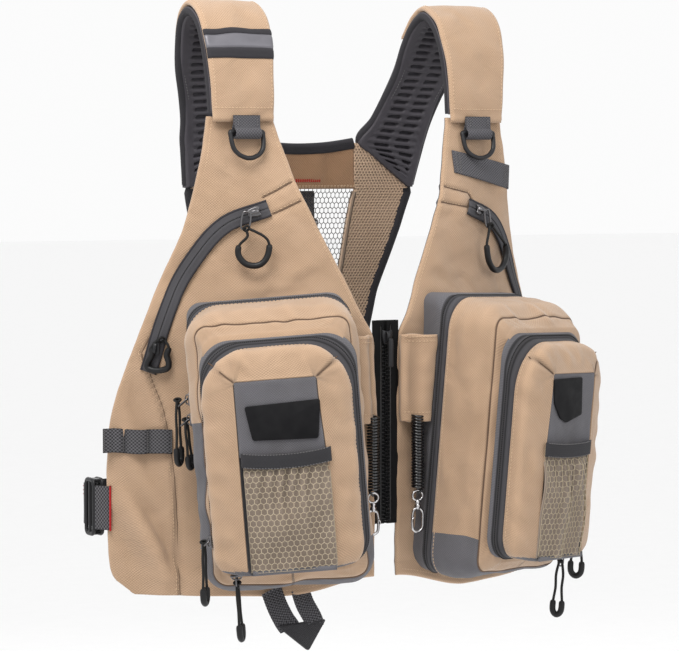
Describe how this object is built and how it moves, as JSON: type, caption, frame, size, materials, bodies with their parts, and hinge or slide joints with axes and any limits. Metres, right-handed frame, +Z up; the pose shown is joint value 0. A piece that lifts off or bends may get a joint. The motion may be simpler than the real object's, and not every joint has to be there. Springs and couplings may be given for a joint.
{
  "type": "fishing vest",
  "caption": "Open-sided fishing vest with padded shoulder straps, swinging fronts with box pockets, zips, coiled tool tethers, D-rings, back net and waist straps",
  "frame": {"origin": "midway between the undersides of the two shoulder pads, where the vest rests on the wearer's shoulders", "axes": "+X to the wearer's left, +Y to the wearer's back, +Z up; the zip is in the plane x = 0"},
  "size_m": [0.4742, 0.3015, 0.5955],
  "materials": {
    "beige_canvas": "matte sand-coloured woven polyester",
    "grey_canvas": "matte dark grey woven polyester",
    "spacer_mesh": "beige three-layer spacer mesh",
    "hex_net": "dark open hexagonal net",
    "pocket_net": "gathered khaki hexagonal net with an elastic top",
    "eva_foam": "matte perforated foam with a bound edge",
    "grey_webbing": "ribbed grey webbing",
    "black_webbing": "ribbed black webbing",
    "zip_tape": "black zip tape with moulded teeth",
    "grey_zip_tape": "grey zip tape with a black coil",
    "black_plastic": "satin black acetal",
    "pull_cord": "black cord with a rubber sleeve",
    "slider_metal": "cast metal slider with a black cord loop",
    "black_slider": "black painted slider",
    "coil_plastic": "glossy black coiled cord",
    "clip_metal": "bright metal swivel clip"
  },
  "bodies": {
    "back": {"back_yoke": "beige_canvas", "back_net": "hex_net", "back_spacer_left": "spacer_mesh", "back_spacer_right": "spacer_mesh", "back_lower_panel": "beige_canvas", "shoulder_pad_left": "eva_foam", "shoulder_pad_right": "eva_foam", "strap_cover_left": "beige_canvas", "strap_cover_right": "beige_canvas", "side_strap_left": "grey_webbing", "side_strap_right": "grey_webbing", "net_ring_tab": "grey_webbing"},
    "net_ring": {"net_ring": "black_plastic"},
    "centre_slider": {"centre_zip_slider": "black_slider"},
    "centre_pull": {"centre_zip_pull": "black_slider"},
    "front_left": {"front_panel_left": "beige_canvas", "zip_half_left": "zip_tape", "tether_sleeve_left": "beige_canvas", "tether_coil_left": "coil_plastic", "pocket_gusset_left": "grey_canvas", "pocket_shell_left": "beige_canvas", "front_pocket_gusset_left": "grey_canvas", "front_pocket_shell_left": "beige_canvas", "mesh_pocket_left": "pocket_net", "dring_tab_left": "grey_webbing", "chest_zip_left": "grey_zip_tape", "shoulder_webbing": "grey_webbing"},
    "dring_left": {"dring_left": "black_plastic"},
    "side_buckle_left": {"side_buckle_left": "black_plastic"},
    "tether_left": {"tether_clip_left": "clip_metal"},
    "chest_slider_left": {"chest_slider_upper_left": "slider_metal"},
    "chest_pull_left": {"chest_pull_left": "pull_cord"},
    "chest_slider_lower_left": {"chest_slider_lower_left": "slider_metal"},
    "pocket_slider_a_left": {"pocket_slider_a_left": "slider_metal"},
    "pocket_slider_b_left": {"pocket_slider_b_left": "slider_metal"},
    "front_pocket_slider_a_left": {"front_pocket_slider_a_left": "slider_metal"},
    "front_pocket_slider_b_left": {"front_pocket_slider_b_left": "slider_metal"},
    "front_right": {"front_panel_right": "beige_canvas", "zip_half_right": "zip_tape", "tether_sleeve_right": "beige_canvas", "tether_coil_right": "coil_plastic", "pocket_gusset_right": "grey_canvas", "pocket_shell_right": "beige_canvas", "front_pocket_gusset_right": "grey_canvas", "front_pocket_shell_right": "beige_canvas", "mesh_pocket_right": "pocket_net", "dring_tab_right": "grey_webbing", "chest_zip_right": "grey_zip_tape", "webbing_loops": "grey_webbing", "rod_loop": "black_webbing"},
    "dring_right": {"dring_right": "black_plastic"},
    "side_buckle_right": {"side_buckle_right": "black_plastic"},
    "tether_right": {"tether_clip_right": "clip_metal"},
    "chest_slider_right": {"chest_slider_upper_right": "slider_metal"},
    "chest_pull_right": {"chest_pull_right": "pull_cord"},
    "chest_slider_lower_right": {"chest_slider_lower_right": "slider_metal"},
    "pocket_slider_a_right": {"pocket_slider_a_right": "slider_metal"},
    "pocket_slider_b_right": {"pocket_slider_b_right": "slider_metal"},
    "front_pocket_slider_a_right": {"front_pocket_slider_a_right": "slider_metal"},
    "front_pocket_slider_b_right": {"front_pocket_slider_b_right": "slider_metal"}
  },
  "joints": [
    {"name": "front_swing_left", "type": "hinge", "parent": "back", "child": "front_left", "pos_m": [0.121, -0.04, -0.084], "axis": [-0.2781, -0.1695, 0.9455], "range_deg": [0, 58]},
    {"name": "dring_swing_left", "type": "hinge", "parent": "front_left", "child": "dring_left", "pos_m": [0.12, -0.048, -0.101], "axis": [-1, 0, 0], "range_deg": [0, 90]},
    {"name": "buckle_slide_left", "type": "slide", "parent": "back", "child": "side_buckle_left", "axis": [0, 1, 0], "range_m": [0, 0.008]},
    {"name": "tether_stretch_left", "type": "slide", "parent": "front_left", "child": "tether_left", "axis": [-0.0603, -0.1005, -0.9931], "range_m": [0, 0.15], "stiffness_N_per_m": 8, "springref_m": -0.03, "deforming": ["tether_coil_left"]},
    {"name": "chest_zip_slide_left", "type": "hinge", "parent": "front_left", "child": "chest_slider_left", "pos_m": [0.09485, -0.05223, -0.24982], "axis": [-0.3544, 0.9188, 0.1737], "range_deg": [0, 22]},
    {"name": "chest_pull_swing_left", "type": "hinge", "parent": "chest_slider_left", "child": "chest_pull_left", "pos_m": [0.127, -0.05945, -0.187], "axis": [-0.9084, -0.4182, 0], "range_deg": [0, 100]},
    {"name": "chest_zip_lower_slide_left", "type": "hinge", "parent": "front_left", "child": "chest_slider_lower_left", "pos_m": [0.00026, 0.06204, -0.30637], "axis": [-0.3585, -0.9076, -0.2184], "range_deg": [0, 14]},
    {"name": "pocket_zip_slide_a_left", "type": "slide", "parent": "front_left", "child": "pocket_slider_a_left", "axis": [0.0627, -0.0463, 0.997], "range_m": [0, 0.045]},
    {"name": "pocket_zip_slide_b_left", "type": "slide", "parent": "front_left", "child": "pocket_slider_b_left", "axis": [-0.0627, 0.0463, -0.997], "range_m": [0, 0.06]},
    {"name": "front_pocket_zip_slide_a_left", "type": "slide", "parent": "front_left", "child": "front_pocket_slider_a_left", "axis": [0.0627, -0.0463, 0.997], "range_m": [0, 0.1]},
    {"name": "front_pocket_zip_slide_b_left", "type": "slide", "parent": "front_left", "child": "front_pocket_slider_b_left", "axis": [-0.8905, -0.4537, 0.0349], "range_m": [0, 0.08]},
    {"name": "front_swing_right", "type": "hinge", "parent": "back", "child": "front_right", "pos_m": [-0.121, -0.04, -0.084], "axis": [-0.2781, 0.1695, -0.9455], "range_deg": [0, 58]},
    {"name": "dring_swing_right", "type": "hinge", "parent": "front_right", "child": "dring_right", "pos_m": [-0.12, -0.048, -0.101], "axis": [-1, 0, 0], "range_deg": [0, 90]},
    {"name": "buckle_slide_right", "type": "slide", "parent": "back", "child": "side_buckle_right", "axis": [0, 1, 0], "range_m": [0, 0.008]},
    {"name": "tether_stretch_right", "type": "slide", "parent": "front_right", "child": "tether_right", "axis": [0.0603, -0.1005, -0.9931], "range_m": [0, 0.15], "stiffness_N_per_m": 8, "springref_m": -0.03, "deforming": ["tether_coil_right"]},
    {"name": "chest_zip_slide_right", "type": "hinge", "parent": "front_right", "child": "chest_slider_right", "pos_m": [-0.09485, -0.05223, -0.24982], "axis": [-0.3544, -0.9188, -0.1737], "range_deg": [0, 22]},
    {"name": "chest_pull_swing_right", "type": "hinge", "parent": "chest_slider_right", "child": "chest_pull_right", "pos_m": [-0.127, -0.05945, -0.187], "axis": [-0.9084, 0.4182, 0], "range_deg": [0, 100]},
    {"name": "chest_zip_lower_slide_right", "type": "hinge", "parent": "front_right", "child": "chest_slider_lower_right", "pos_m": [-0.00026, 0.06204, -0.30637], "axis": [-0.3585, 0.9076, 0.2184], "range_deg": [0, 14]},
    {"name": "pocket_zip_slide_a_right", "type": "slide", "parent": "front_right", "child": "pocket_slider_a_right", "axis": [-0.0857, 0.0045, 0.9963], "range_m": [0, 0.045]},
    {"name": "pocket_zip_slide_b_right", "type": "slide", "parent": "front_right", "child": "pocket_slider_b_right", "axis": [0.0857, -0.0045, -0.9963], "range_m": [0, 0.06]},
    {"name": "front_pocket_zip_slide_a_right", "type": "slide", "parent": "front_right", "child": "front_pocket_slider_a_right", "axis": [-0.0857, 0.0045, 0.9963], "range_m": [0, 0.1]},
    {"name": "front_pocket_zip_slide_b_right", "type": "slide", "parent": "front_right", "child": "front_pocket_slider_b_right", "axis": [0.8883, -0.4526, 0.0785], "range_m": [0, 0.08]},
    {"name": "net_ring_swing", "type": "hinge", "parent": "back", "child": "net_ring", "pos_m": [0, 0.104, -0.184], "axis": [1, 0, 0], "range_deg": [0, 120]},
    {"name": "centre_zip_slide", "type": "slide", "parent": "front_right", "child": "centre_slider", "axis": [0, 0, -1], "range_m": [0, 0.15]},
    {"name": "centre_pull_swing", "type": "hinge", "parent": "centre_slider", "child": "centre_pull", "pos_m": [0, -0.0988, -0.288], "axis": [-1, 0, 0], "range_deg": [0, 100]}
  ]
}
